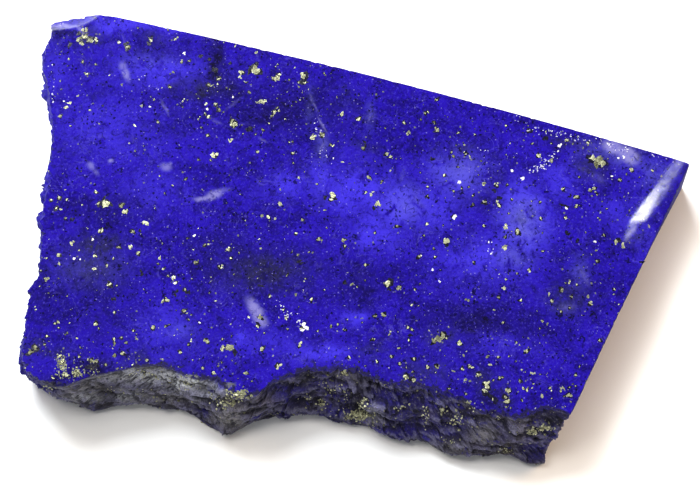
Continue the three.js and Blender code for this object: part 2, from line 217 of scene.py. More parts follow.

# Pyrite in the polish: across and down in pixels, and radius in pixels.
LARGE_GRAINS = [
    (255, 71, 5.2), (234, 124, 4.8), (598, 161, 5.4), (592, 158, 3.8), (603, 163, 3.8), (304, 76, 3.3),
    (332, 196, 4.0), (213, 155, 3.4), (446, 241, 3.9), (377, 204, 3.6), (313, 138, 3.4), (322, 135, 3.0),
    (438, 338, 4.2), (434, 341, 3.0), (443, 336, 3.0), (104, 204, 3.6), (99, 203, 2.4), (109, 203, 2.8),
    (127, 47, 3.0), (278, 77, 3.0), (274, 79, 2.6), (388, 283, 3.8), (229, 347, 4.2), (223, 348, 2.4),
    (505, 228, 3.2), (518, 232, 3.0), (504, 247, 3.4), (623, 245, 3.2), (616, 241, 3.0), (503, 288, 3.0),
    (460, 343, 3.0), (260, 101, 3.0), (264, 102, 2.4), (84, 37, 3.4), (78, 40, 3.2), (90, 40, 3.4),
    (86, 31, 2.8), (96, 40, 2.4), (82, 43, 2.6), (147, 223, 2.8), (126, 212, 2.8), (122, 205, 2.6),
    (110, 284, 3.0), (62, 362, 1.8), (64, 369, 1.9), (60, 356, 1.6), (78, 371, 1.8), (75, 376, 1.7),
    (35, 349, 3.4), (31, 352, 2.8), (91, 360, 2.8), (96, 361, 2.6), (140, 366, 3.2), (137, 370, 2.6),
    (486, 386, 3.6), (506, 397, 3.2), (507, 402, 3.0), (508, 391, 2.6), (407, 377, 3.2), (413, 380, 2.8),
    (417, 384, 2.8), (569, 395, 2.8), (561, 388, 2.6),
]
SMALL_GRAINS = [
    (119, 42), (151, 40), (60, 81), (122, 84), (158, 122), (184, 99), (189, 61), (182, 62), (304, 83),
    (299, 87), (263, 130), (241, 73), (246, 82), (241, 78), (342, 114), (359, 119), (363, 148),
    (404, 123), (407, 134), (410, 133), (428, 112), (437, 100), (437, 130), (390, 157), (387, 154),
    (453, 156), (466, 154), (470, 157), (343, 162), (631, 170), (552, 160), (538, 155), (444, 175),
    (484, 183), (495, 184), (497, 186), (486, 202), (498, 201), (499, 205), (473, 205), (454, 217),
    (540, 202), (563, 189), (590, 190), (594, 188), (649, 226), (597, 261), (369, 178), (371, 194),
    (262, 216), (268, 217), (275, 219), (280, 189), (280, 203), (299, 178), (302, 220), (319, 239),
    (344, 240), (345, 246), (375, 233), (397, 226), (427, 224), (419, 256), (435, 257), (365, 265),
    (399, 287), (352, 284), (357, 287), (270, 296), (331, 327), (59, 198), (102, 231), (133, 231),
    (119, 247), (131, 247), (138, 253), (96, 256), (94, 269), (174, 278), (176, 283), (185, 290),
    (166, 300), (185, 311), (229, 250), (231, 258), (153, 328), (96, 324), (133, 331), (231, 324),
    (122, 354), (35, 307), (76, 373), (66, 375), (137, 373), (214, 373), (569, 283), (562, 290),
    (572, 297), (549, 294), (588, 297), (590, 303), (619, 304), (600, 341), (527, 351), (487, 357),
    (498, 357), (436, 367), (462, 369), (465, 380), (484, 391), (533, 374), (550, 388), (575, 375),
    (571, 402), (542, 396), (527, 390), (520, 381), (479, 375), (453, 371), (427, 366), (414, 359),
    (400, 364), (391, 356), (377, 362), (249, 317), (261, 317), (257, 326), (83, 62), (87, 74),
    (70, 103), (66, 107), (90, 110), (142, 106), (170, 87), (275, 112), (272, 116), (230, 141),
    (293, 153), (331, 145), (209, 85), (219, 79), (216, 104), (219, 109), (206, 104), (645, 151),
    (588, 143), (567, 140), (620, 180), (577, 197), (576, 207), (543, 251), (529, 270), (641, 262),
    (604, 235), (521, 300), (494, 310), (466, 300), (412, 305), (384, 315), (345, 330), (311, 300),
    (286, 318), (216, 301), (196, 262), (160, 258), (71, 243), (59, 255), (46, 279), (58, 322),
    (47, 336), (114, 339), (180, 352), (206, 341), (262, 349), (300, 345), (247, 373), (278, 366),
]
BLACK_SPECKS = [
    (142, 273, 4.0), (114, 298, 3.2), (73, 218, 3.0), (250, 131, 4.5), (411, 335, 3.2), (214, 70, 4.0),
    (210, 60, 3.4), (304, 80, 6.0), (72, 44, 4.0), (78, 34, 4.0), (126, 43, 3.4), (148, 44, 3.0),
    (500, 198, 3.8), (499, 205, 3.8), (484, 203, 3.0), (494, 192, 3.2), (446, 245, 4.6), (428, 197, 2.6),
    (566, 206, 3.6), (570, 196, 2.6), (568, 233, 3.4), (578, 241, 3.6), (642, 151, 5.0), (600, 168, 2.6),
    (530, 130, 4.0), (546, 139, 3.6), (260, 286, 3.4), (299, 262, 3.6), (92, 366, 6.0), (100, 369, 5.0),
    (50, 382, 5.0), (58, 384, 4.0), (494, 400, 6.0), (487, 395, 4.0), (374, 208, 3.0), (385, 154, 3.4),
    (366, 146, 3.4), (432, 158, 3.0), (200, 56, 3.0), (230, 64, 2.6), (140, 231, 2.6), (176, 291, 3.0),
    (187, 292, 3.4), (335, 199, 3.8), (325, 198, 3.0), (233, 352, 3.6), (345, 283, 3.0), (389, 288, 3.4),
]
# White chips and glitter, partly painted glints: lines of small chips from one pixel to another, and how
# many.
GLITTER_AND_GLINT_LINES = [
    (531, 129, 560, 134, 26), (560, 134, 588, 142, 16), (600, 141, 612, 145, 16), (612, 146, 632, 152, 12),
    (556, 152, 535, 173, 34), (548, 158, 530, 172, 16), (278, 303, 290, 317, 18), (297, 312, 302, 326, 8),
    (318, 150, 334, 160, 8), (312, 122, 322, 140, 10), (52, 65, 50, 120, 14), (50, 25, 76, 22, 6),
    (486, 243, 495, 256, 6), (500, 110, 530, 124, 8), (640, 152, 684, 163, 8), (470, 148, 520, 160, 6),
    (20, 330, 26, 370, 8), (125, 70, 160, 90, 6), (590, 190, 596, 187, 3),
]
# White chips, partly painted glints: across and down, and radius in pixels.
BRIGHT_CHIPS_AND_GLINTS = [
    (305, 328, 4.0), (303, 324, 2.4), (523, 179, 2.6), (560, 145, 2.4), (512, 171, 2.2), (612, 176, 1.8),
    (567, 208, 1.8), (459, 182, 2.2), (433, 270, 1.4), (439, 281, 1.4), (74, 258, 1.8), (80, 260, 1.6),
    (624, 157, 1.9), (619, 158, 1.6), (207, 109, 2.0), (455, 217, 2.6), (594, 241, 1.8), (119, 42, 2.0),
    (150, 107, 1.6), (93, 239, 1.7), (64, 101, 1.4), (420, 256, 1.4), (489, 242, 1.4), (491, 254, 1.3),
    (194, 235, 1.6), (174, 277, 2.0), (176, 283, 2.2), (184, 53, 1.8), (233, 97, 1.6), (200, 323, 1.4),
]

# Pyrite on the broken front: centre and half size of each patch in pixels, how many crystals,
# and their radius in millimetres.
CRYSTAL_PATCHES = [
    (62, 364, 5, 9, 80, 0.085), (78, 372, 5, 6, 46, 0.08), (62, 374, 7, 4, 26, 0.08),
    (92, 372, 8, 4, 14, 0.08), (48, 387, 10, 3, 10, 0.12),
    (140, 374, 16, 5, 20, 0.10), (185, 384, 18, 5, 30, 0.08), (240, 395, 12, 5, 80, 0.13),
    (224, 404, 9, 4, 30, 0.12), (215, 398, 10, 5, 14, 0.08), (321, 404, 7, 5, 22, 0.11),
    (345, 374, 7, 4, 16, 0.12), (333, 388, 13, 6, 26, 0.09), (358, 415, 13, 5, 120, 0.12),
    (365, 405, 6, 6, 22, 0.12), (400, 408, 6, 3, 12, 0.10), (426, 416, 4, 11, 24, 0.09),
    (443, 411, 5, 3, 12, 0.11), (459, 421, 6, 8, 22, 0.10), (450, 422, 5, 4, 10, 0.09),
    (532, 432, 5, 3, 36, 0.13), (546, 428, 9, 2.5, 36, 0.12), (507, 452, 12, 5, 24, 0.08),
    (452, 440, 9, 3, 12, 0.08), (551, 446, 3, 3, 5, 0.10), (465, 380, 5, 3, 5, 0.10),
    (468, 402, 5, 2, 8, 0.09), (497, 418, 5, 3, 8, 0.09), (110, 390, 6, 4, 8, 0.07),
    (150, 392, 14, 4, 8, 0.07), (473, 408, 8, 5, 8, 0.08), (384, 384, 8, 3, 8, 0.08),
    (375, 425, 9, 4, 14, 0.08), (310, 396, 8, 4, 8, 0.08), (350, 395, 6, 4, 8, 0.09),
]

# Where scattered grains crowd, in the same form as the colour zones
CROWDED_ZONES = [
    (430, 362, 80, 30, 0.6), (520, 390, 60, 25, 0.6), (75, 360, 70, 22, 0.7), (210, 362, 30, 18, 0.4),
    (560, 140, 70, 14, 0.6), (250, 90, 60, 40, 0.25), (490, 195, 30, 20, 0.4), (180, 290, 60, 30, 0.2),
]
SCATTER_TRIES = 3000
SCATTERED_CRYSTALS = 520

# How far flat grains stand out of the stone and how deep they are sunk in it, in millimetres
DARK_SETTING = (0.004, 0.04)
SPECK_SETTING = (0.003, 0.04)
GLITTER_AND_GLINT_SETTING = (0.008, 0.03)
CHIP_SETTING = (0.014, 0.03)
DUST_SETTING = (0.012, 0.05)
SAWN_SETTING = (0.006, 0.05)
GRAIN_PROUD = (0.009, 0.017)
GRAIN_SUNK = 0.05

# Name, place in metres, width, energy, colour, and whether it is mirrored: two of them would turn
# the polish white in low views.
LIGHTS = [
    ("key", (-0.22, 0.42, 0.5), 0.3, 8.0, (0.94, 0.98, 1.0), True),
    ("left_key", (-0.26, 0.07, 0.6), 0.2, 1.0, (1.0, 0.95, 0.86), True),
    ("overhead", (-0.1, 0.15, 0.62), 0.35, 1.3, (1.0, 0.97, 0.95), False),
    ("warm_fill", (0.5, 0.26, 0.24), 0.3, 3.4, (1.0, 0.7, 0.42), False),
    ("front_fill", (-0.25, -0.6, 0.45), 0.5, 1.0, (0.97, 0.98, 1.0), True),
]
STREAK_TARGET = (0.027, 0.002, 0.006)  # the roll-off of the polish, in metres
FLOOR_HALF = 4.0
WORLD_LIGHT = 0.13


def linear(red, green, blue):
    """A colour given as 0 to 255 in sRGB, as linear RGBA."""
    channels = [c / 255 for c in (red, green, blue)]
    return [c / 12.92 if c <= 0.04045 else ((c + 0.055) / 1.055) ** 2.4 for c in channels] + [1.0]


def paint(red, green, blue, light=FACE_LIGHT):
    """A surface colour that shows as the one given, where the lights give 1 / light of white."""
    return [c * light for c in linear(red, green, blue)[:3]] + [1.0]


# The photograph's view

VIEW_RIGHT = np.array([1.0, 0.0, 0.0])
VIEW_UP = np.array([0.0, math.sin(CAMERA_ELEVATION), math.cos(CAMERA_ELEVATION)])
VIEW_BACK = np.array([0.0, -math.cos(CAMERA_ELEVATION), math.sin(CAMERA_ELEVATION)])
EYE = CAMERA_AIM + CAMERA_DISTANCE * VIEW_BACK
FOCAL_PIXELS = CAMERA_DISTANCE / FACE_MM_PER_PIXEL


def pixel_of(points):
    """Where points of the stone, in millimetres, stand in the photograph."""
    away = points - EYE
    depth = -(away @ VIEW_BACK)
    across = IMAGE_WIDTH / 2 + FOCAL_PIXELS * (away @ VIEW_RIGHT) / depth
    down = IMAGE_HEIGHT / 2 - FOCAL_PIXELS * (away @ VIEW_UP) / depth
    return across, down


def ray_through(u, v):
    """Direction from the eye through a pixel."""
    ray = VIEW_RIGHT * (u - IMAGE_WIDTH / 2) + VIEW_UP * (IMAGE_HEIGHT / 2 - v)
    return Vector(ray / FOCAL_PIXELS - VIEW_BACK).normalized()


def make_camera():
    data = bpy.data.cameras.new("camera")
    data.sensor_width = SENSOR_WIDTH
    data.lens = FOCAL_PIXELS * SENSOR_WIDTH / IMAGE_WIDTH
    data.clip_start = 0.005
    camera = bpy.data.objects.new("camera", data)
    bpy.context.scene.collection.objects.link(camera)
    axes = Matrix([VIEW_RIGHT, VIEW_UP, VIEW_BACK]).transposed().to_4x4()
    camera.matrix_world = Matrix.Translation(Vector(EYE * MM)) @ axes
    bpy.context.scene.camera = camera


# Wrapping the solid


def solid_tree(obj):
    corners = [v.co / MM for v in obj.data.vertices]
    return BVHTree.FromPolygons(corners, [p.vertices[:] for p in obj.data.polygons])


def radius_at(tree, angle, height):
    """Distance from the upright through the origin to the outside of the solid."""
    out = Vector((math.cos(angle), math.sin(angle), 0.0))
    hit = tree.ray_cast(out * OUTSIDE + Vector((0, 0, height)), -out)[0]
    return hit.xy.length


def rolled(x, y):
    """How far the polish has rolled off, beyond a slanting line near the back right corner."""
    along = (ROLL_BACK - ROLL_FRONT) / np.linalg.norm(ROLL_BACK - ROLL_FRONT)
    here = np.array([x, y]) - ROLL_FRONT
    beyond = max(0.0, here[0] * along[1] - here[1] * along[0])
    share = np.clip((here @ along - ROLL_FADE[0]) / (ROLL_FADE[1] - ROLL_FADE[0]), 0, 1)
    return ROLL_CURVE * beyond**2 * share * share * (3 - 2 * share)


def chip_share(x, y):
    """1 at the middle of the hollow at the back left corner, 0 on its edge and less outside it."""
    return 1 - ((x - CHIP[0]) / CHIP_REACH[0]) ** 2 - ((y - CHIP[1]) / CHIP_REACH[1]) ** 2


def chipped(x, y):
    """How deep the hollow at the back left corner is."""
    return CHIP_DEPTH * max(0.0, chip_share(x, y))


def face_height(x, y):
    """Height of the polish: flat, but for the roll-off and the chip at the back corners."""
    return THICKNESS - rolled(x, y) - chipped(x, y)


def column_angles(tree):
    """Angles of the columns, evenly spaced along the outline and closer on the front."""
    angles = np.linspace(0, 2 * math.pi, SURVEY, endpoint=False)
    radii = np.array([radius_at(tree, a, THICKNESS / 2) for a in angles])
    points = np.stack([radii * np.cos(angles), radii * np.sin(angles)], -1)
    steps = np.linalg.norm(np.roll(points, -1, 0) - points, axis=1)
    steps[points[:, 1] < FRONT_LIMIT] *= FRONT_WEIGHT
    travelled = np.concatenate([[0], np.cumsum(steps)])
    wanted = np.linspace(0, travelled[-1], COLUMNS, endpoint=False)
    return np.interp(wanted, travelled, np.append(angles, 2 * math.pi))


def brokenness(angles):
    """1 on the natural sides, 0 on the sawn ones, from the directions of the two corners."""
    start = math.atan2(FRONT_RIGHT[1], FRONT_RIGHT[0]) % (2 * math.pi)
    end = math.atan2(BACK_LEFT[1], BACK_LEFT[0])
    sawn = (angles > start) | (angles < end)
    broken = np.where(sawn, 0.0, 1.0)
    half = CORNER_BLUR // 2
    kernel = np.ones(CORNER_BLUR) / CORNER_BLUR
    return np.convolve(np.concatenate([broken[-half:], broken, broken[:half]]), kernel, "valid")


def smoothed(grid, broken):
    """Rounds the solid's facets off the broken columns."""
    for _ in range(SMOOTHINGS):
        blurred = (np.roll(grid, 1, 1) + np.roll(grid, -1, 1) + 2 * grid) / 4
        rows = np.concatenate([blurred[:1], blurred, blurred[-1:]])
        blurred = (rows[:-2] + rows[2:] + 2 * rows[1:-1]) / 4
        blurred[0], blurred[-1] = grid[0], grid[-1]
        grid = grid + (blurred - grid) * broken
    return grid


def chunks(point, size, slope):
    """A surface of flat tilted pieces about as wide as size: its height and, near cracks, 1."""
    distances, centres = noise.voronoi(point / size)
    tilt = noise.noise_vector(centres[0] * 3.7 + Vector((0.3, 0.7, 0.2)))
    height = slope * size * (tilt.dot(point / size - centres[0]) + 0.4 * tilt.x)
    return height, max(0.0, 1 - (distances[1] - distances[0]) * 5)


def terraces(place):
    """Ledges that reach out as they go down and end in an undercut, 0 to 1."""
    wander = 1.3 * noise.noise(place * 0.16) + 0.45 * noise.noise(place * 0.7 + Vector((9, 4, 2)))
    level = 0.42 * place.z + 0.05 * place.x + wander
    return 1 - (level - math.floor(level))


def fracture(point):
    """Height of the broken surface above its smooth form, in millimetres, and how much painted shade it gets
    in its cracks and under its ledges.
    """
    x, y, z = point
    place = Vector((x, y, z))
    drift = noise.noise_vector(place * 0.6) * 0.5
    step = terraces(place)
    bold = 0.26 + 0.34 * noise.noise(Vector((x * 0.3, y * 0.3, 7.0)))
    lying = Vector((x * 0.55, y * 0.8, z + 0.2 * x)) + drift
    plates, wide_crack = chunks(lying, 1.1, 0.55)
    chips, fine_crack = chunks(lying * 1.3 + drift, 0.42, 0.7)
    lumps = noise.fractal(place * 2.1, 0.8, 2.1, 3)
    height = bold * (step - 0.5) + plates + chips + 0.09 * lumps
    undercut = max(0.0, 1 - 7 * step) * min(1.0, 3 * bold)
    return height - 0.06 * wide_crack, max(wide_crack, undercut, 0.5 * fine_crack)


def side_grid(tree):
    """The sides as rows of points from the top down, how broken each column is, and its top."""
    angles = column_angles(tree)
    broken = brokenness(angles)
    top = np.empty(COLUMNS)
    for i, angle in enumerate(angles):
        inside = radius_at(tree, angle, THICKNESS * 0.75) - 0.1
        top[i] = face_height(inside * math.cos(angle), inside * math.sin(angle))
    share = np.linspace(1, 0, ROWS)[:, None]
    heights = (top - EDGE_BITE) * share
    reach = np.array([[radius_at(tree, a, max(z, 0.02)) for a, z in zip(angles, row)] for row in heights])
    # A sawn side runs straight up: its worn edge is made here and not taken from the solid.
    upright = np.array([radius_at(tree, a, THICKNESS * SLOPE_TOP) for a in angles])
    lower = np.array([radius_at(tree, a, THICKNESS * SLOPE_FOOT) for a in angles])
    line = upright + (upright - lower) * (heights / THICKNESS - SLOPE_TOP) / SLOPE_SPAN
    sawn = (1 - broken) * np.clip(heights / THICKNESS * 5 - 4, 0, 1)
    reach = reach + (line - reach) * np.where(broken < 0.5, 1, 0) * np.clip(sawn * 5, 0, 1)
    reach = smoothed(reach, broken)
    points = np.stack([reach * np.cos(angles), reach * np.sin(angles), heights], -1)
    return points, broken, top


def outward(points):
    """Level directions away from the middle of the stone. Moves along them never cross."""
    out = points * (1, 1, 0)
    return out / np.linalg.norm(out, axis=-1, keepdims=True)


def roughened(points, broken):
    """Adds the fracture to the broken sides and the saw's chatter to the sawn ones."""
    relief = np.array([[fracture(p) for p in row] for row in points])
    relief, cracks = relief[..., 0], relief[..., 1]
    chatter = np.array([[0.012 * noise.noise(Vector(p) * 2.2) for p in row] for row in points])
    chips = np.array([max(0.0, noise.noise(Vector(p) * 2.4) - 0.25) for p in points[0]])
    nicks = np.array([max(0.0, noise.noise(Vector(p) * 3.1) + 0.05) for p in points[0]])
    chips = chips * (1 - broken) + nicks * broken
    down = np.linspace(0, 1, ROWS)[:, None]
    fade = np.clip(down * 6, 0.75, 1) * np.clip((1 - down) * 7, 0.4, 1)
    push = relief * fade * broken + chatter * (1 - broken) - 0.05 * broken
    moved = points + outward(points) * push[..., None]
    for row, strength in ((0, 0.32), (1, 0.18), (2, 0.08)):
        moved[row] -= outward(points)[row] * (chips * strength * (1 + 0.6 * broken))[:, None]
    inside = np.clip(moved, LOW + BOX_MARGIN, HIGH - BOX_MARGIN)
    inside[-1, :, 2] = 0.0
    return inside, relief, cracks


def blurred_grid(grid, rounds):
    """Values on the sides, averaged with their neighbours a number of times."""
    for _ in range(rounds):
        grid = (np.roll(grid, 1, 1) + np.roll(grid, -1, 1) + grid) / 3
        rows = np.concatenate([grid[:1], grid, grid[-1:]])
        grid = (rows[:-2] + rows[1:-1] + rows[2:]) / 3
    return grid


def crests(relief):
    """Where the broken side stands out from its surroundings, positive, or lies back, negative."""
    return np.clip((relief - blurred_grid(relief, CREST_BLUR)) / CREST_HEIGHT, -1, 1)


def read_off(ring, values, points):
    """Values given at the points of a ring, read off in the directions of other points."""
    angles = np.arctan2(ring[:, 1], ring[:, 0])
    order = np.argsort(angles)
    wanted = np.arctan2(points[:, 1], points[:, 0])
    return np.interp(wanted, angles[order], values[order], period=2 * math.pi)


def filled(ring, step, clearance):
    """Triangles that fill a ring seen from above, and the extra points that they need."""
    xs = np.arange(LOW[0], HIGH[0], step)
    ys = np.arange(LOW[1], HIGH[1], step * math.sqrt(3) / 2)
    gx, gy = np.meshgrid(xs, ys)
    gx[1::2] += step / 2
    grid = np.stack([gx.ravel(), gy.ravel()], -1)
    reach = read_off(ring, np.hypot(ring[:, 0], ring[:, 1]), grid)
    inner = grid[np.hypot(grid[:, 0], grid[:, 1]) < reach - clearance]
    flat = [Vector(p) for p in np.concatenate([ring[:, :2], inner]).tolist()]
    result = delaunay_2d_cdt(flat, [], [list(range(len(ring)))], 1, 1e-7)
    source = [ids[0] for ids in result[3]]
    return inner, [[source[i] for i in face] for face in result[2]]


def stone_mesh(tree):
    """The fine stone: points and faces in millimetres, how many faces are polish, and its marks."""
    smooth, broken, top = side_grid(tree)
    sides, relief, cracks = roughened(smooth, broken)
    out = outward(sides)[0]
    rim = sides[0] - out * (ARRIS * (1 - 0.6 * broken))[:, None]
    rim[:, 2] = [face_height(x, y) - FACE_SINK for x, y in rim[:, :2]]
    rim[:, 2] = np.minimum(rim[:, 2], top - FACE_SINK)
    inner, face = filled(rim, FACE_STEP, FACE_CLEARANCE)
    inner_heights = np.array([face_height(x, y) for x, y in inner]) - FACE_SINK
    under, base = filled(sides[-1], UNDERSIDE_STEP, UNDERSIDE_CLEARANCE)
    grid = sides.reshape(-1, 3)
    points = np.concatenate([rim, np.column_stack([inner, inner_heights]), grid,
                             np.column_stack([under, np.zeros(len(under))])])
    first_side = COLUMNS + len(inner)
    first_under = first_side + len(grid)
    last_row = first_side + (ROWS - 1) * COLUMNS
    faces = [list(f) for f in face]
    polished_faces = len(faces)
    for i in range(COLUMNS):
        after = (i + 1) % COLUMNS
        faces.append([i, first_side + i, first_side + after, after])
        for row in range(ROWS - 1):
            a = first_side + row * COLUMNS
            faces.append([a + i, a + COLUMNS + i, a + COLUMNS + after, a + after])
    for f in base:
        below = [last_row + k if k < COLUMNS else first_under + k - COLUMNS for k in f]
        faces.append(below[::-1])
    after_side = np.zeros(len(under))
    reach = read_off(rim, np.hypot(rim[:, 0], rim[:, 1]), inner)
    near = read_off(rim, broken, inner)
    within = near * np.exp((np.hypot(inner[:, 0], inner[:, 1]) - reach) / RIM_FADE)
    below = broken * np.exp((sides[..., 2] - top) / RIM_FADE)
    marks = {
        "edge": np.concatenate([broken, within, below.ravel(), after_side]),
        "broken": np.concatenate([broken, np.zeros(len(inner)), np.tile(broken, ROWS), after_side]),
        # Painted light and shade on the broken sides, from where they stand out or lie back
        "crest_shade": np.concatenate([np.zeros(first_side), crests(relief).ravel(), after_side]),
        # Painted shade in the cracks and under the ledges of the broken sides
        "crack_shade": np.concatenate([np.zeros(first_side), cracks.ravel(), after_side]),
    }
    return points, faces, polished_faces, marks


# Colour zones


def drifted(points, size, reach):
    """Pixel places of points, moved about by noise so that the zones have uneven outlines."""
    across, down = pixel_of(points)
    drift = np.array([noise.noise_vector(Vector(p) / size) for p in points]) * reach
    return across + drift[:, 0], down + drift[:, 1]


def zone(across, down, places):
    """The strongest of a list of soft ellipses at each point."""
    total = np.zeros(len(across))
    for u, v, half_width, half_height, strength in places:
        away = ((across - u) / half_width) ** 2 + ((down - v) / half_height) ** 2
        total = np.maximum(total, strength * np.exp(-0.8 * away))
    return total


def smudges(across, down, places):
    """The strongest of a list of turned soft ellipses at each point."""
    total = np.zeros(len(across))
    for u, v, half_length, half_width, turn, strength in places:
        c, s = math.cos(math.radians(turn)), math.sin(math.radians(turn))
        along = ((across - u) * c + (down - v) * s) / half_length
        aside = ((down - v) * c - (across - u) * s) / half_width
        total = np.maximum(total, strength * np.exp(-0.7 * (along**2 + aside**2) ** 1.3))
    return total


def freshness(points):
    """1 where the broken stone is as blue as the polish: all but the front."""
    x, y = points[:, 0], points[:, 1]
    behind = np.clip((y - FRONT_LIMIT + 1.5) / 3, 0, 1)
    corner = np.clip((LEFT_CORNER[0] - x) / 2, 0, 1) * np.clip((y - LEFT_CORNER[1]) / 1.5, 0, 1)
    return np.maximum(behind, corner)


def colour_marks(points):
    """How strongly each kind of zone colours each point."""
    wide = drifted(points, 1.9, 10.0)
    close = drifted(points, 0.9, 3.0)
    return {
        "dark": zone(*wide, DARK_ZONES),
        "olive": zone(*wide, OLIVE_ZONES),
        "bright": zone(*wide, BRIGHT_ZONES),
        "lilac": zone(*close, LILAC_ZONES),
        # calcite, and painted reflections and highlights
        "calcite_and_reflection": smudges(*drifted(points, 0.8, 1.2), CALCITE_AND_REFLECTION_SMUDGES),
        "crust": zone(*close, CRUST_ZONES),
        "grey": zone(*close, GREY_ZONES),
        "blue": zone(*close, BLUE_ZONES),
        "black_and_shade": zone(*close, BLACK_AND_SHADE_ZONES),
        "brown": zone(*close, BROWN_ZONES),
        "gold": zone(*close, GOLD_ZONES),
        "fresh": freshness(points),
        "chip": np.array([np.clip(4 * chip_share(x, y) + 1.5, 0, 1) for x, y in points[:, :2]]),
    }


# Materials


class Nodes:
    """Builds the nodes of one material. Lengths are in millimetres; 2D textures suit a level face."""

    def __init__(self, name, dimensions="3D"):
        self.dimensions = dimensions
        self.material = bpy.data.materials.new(name)
        self.material.use_nodes = True
        self.tree = self.material.node_tree
        self.shader = self.tree.nodes["Principled BSDF"]
        metres = self.add("TexCoord").outputs["Object"]
        self.place = self.vector("SCALE", {"Vector": metres, "Scale": 1 / MM})

    def add(self, kind, settings=None, inputs=None):
        node = self.tree.nodes.new("ShaderNode" + kind)
        for name, value in (settings or {}).items():
            setattr(node, name, value)
        for key, value in (inputs or {}).items():
            self.feed(node.inputs[key], value)
        return node

    def feed(self, socket, value):
        if isinstance(value, bpy.types.NodeSocket):
            self.tree.links.new(value, socket)
        else:
            socket.default_value = value

    def set(self, **values):
        for name, value in values.items():
            self.feed(self.shader.inputs[name.replace("_", " ")], value)

    def vector(self, operation, inputs):
        return self.add("VectorMath", {"operation": operation}, inputs).outputs[0]

    def math(self, operation, a, b=0.0, clamp=False):
        node = self.add("Math", {"operation": operation, "use_clamp": clamp}, {0: a, 1: b})
        return node.outputs[0]

    def multiply(self, a, b):
        return self.math("MULTIPLY", a, b)

    def scaled(self, value, factor, offset):
        node = self.add("Math", {"operation": "MULTIPLY_ADD"}, {0: value, 1: factor, 2: offset})
        return node.outputs[0]

    def mark(self, name):
        return self.add("Attribute", {"attribute_name": name}).outputs["Fac"]

    def shifted(self, seed):
        return self.vector("ADD", {0: self.place, 1: (seed, 2 * seed, 3 * seed)})

    def noise(self, size, detail=3.0, roughness=0.5, distortion=0.0, seed=0.0):
        values = {"Vector": self.shifted(seed), "Scale": 1 / size, "Detail": detail}
        values.update({"Roughness": roughness, "Distortion": distortion})
        return self.add("TexNoise", {"noise_dimensions": self.dimensions}, values).outputs["Fac"]

    def ramp(self, value, low, high, top=1.0):
        values = {"Value": value, "From Min": low, "From Max": high, "To Min": 0.0, "To Max": top}
        return self.add("MapRange", {"interpolation_type": "SMOOTHSTEP"}, values).outputs["Result"]

    def patches(self, low, high, *texture):
        """A mask made of noise: 0 where the noise is below low, 1 where it is above high."""
        return self.ramp(self.noise(*texture), low, high)

    def uneven(self, least, more, *texture):
        """A roughness that wanders, from least to least and more."""
        return self.math("ADD", self.ramp(self.noise(*texture), 0.3, 0.7, more), least)

    def mix(self, factor, a, b):
        node = self.add("Mix", {"data_type": "RGBA"}, {0: factor, 6: a, 7: b})
        return node.outputs[2]

    def layer(self, colour, where, share, top):
        """Lays a colour over another, where a mask says, at a share of its full strength."""
        return self.mix(self.multiply(where, share), colour, top)

    def dots(self, size, share, small, large, seed, ragged=0.12):
        """1 inside ragged dots, one in a share of the cells of a grid; share may be a socket."""
        fine = {"Vector": self.shifted(seed), "Scale": 1 / (0.35 * size), "Detail": 1.0}
        wobble = self.add("TexNoise", {"noise_dimensions": self.dimensions}, fine).outputs["Color"]
        moved = self.vector("SCALE", {"Vector": wobble, "Scale": ragged * size})
        place = self.vector("ADD", {0: self.shifted(seed + 3), 1: moved})
        cells = self.add("TexVoronoi", {"voronoi_dimensions": self.dimensions},
                         {"Vector": place, "Scale": 1 / size})
        parts = self.add("SeparateColor", None, {"Color": cells.outputs["Color"]}).outputs
        chosen = self.math("LESS_THAN", parts[0], share)
        radius = self.ramp(parts[1], 0.0, 1.0, (large - small) / size)
        radius = self.math("ADD", radius, small / size)
        inside = self.math("SUBTRACT", radius, cells.outputs["Distance"])
        return self.multiply(chosen, self.ramp(inside, -0.03, 0.05))

    def bump(self, height, depth, strength, before=None):
        values = {"Height": height, "Distance": depth * MM, "Strength": strength}
        node = self.add("Bump", None, values)
        if before is not None:
            self.feed(node.inputs["Normal"], before)
        return node.outputs[0]


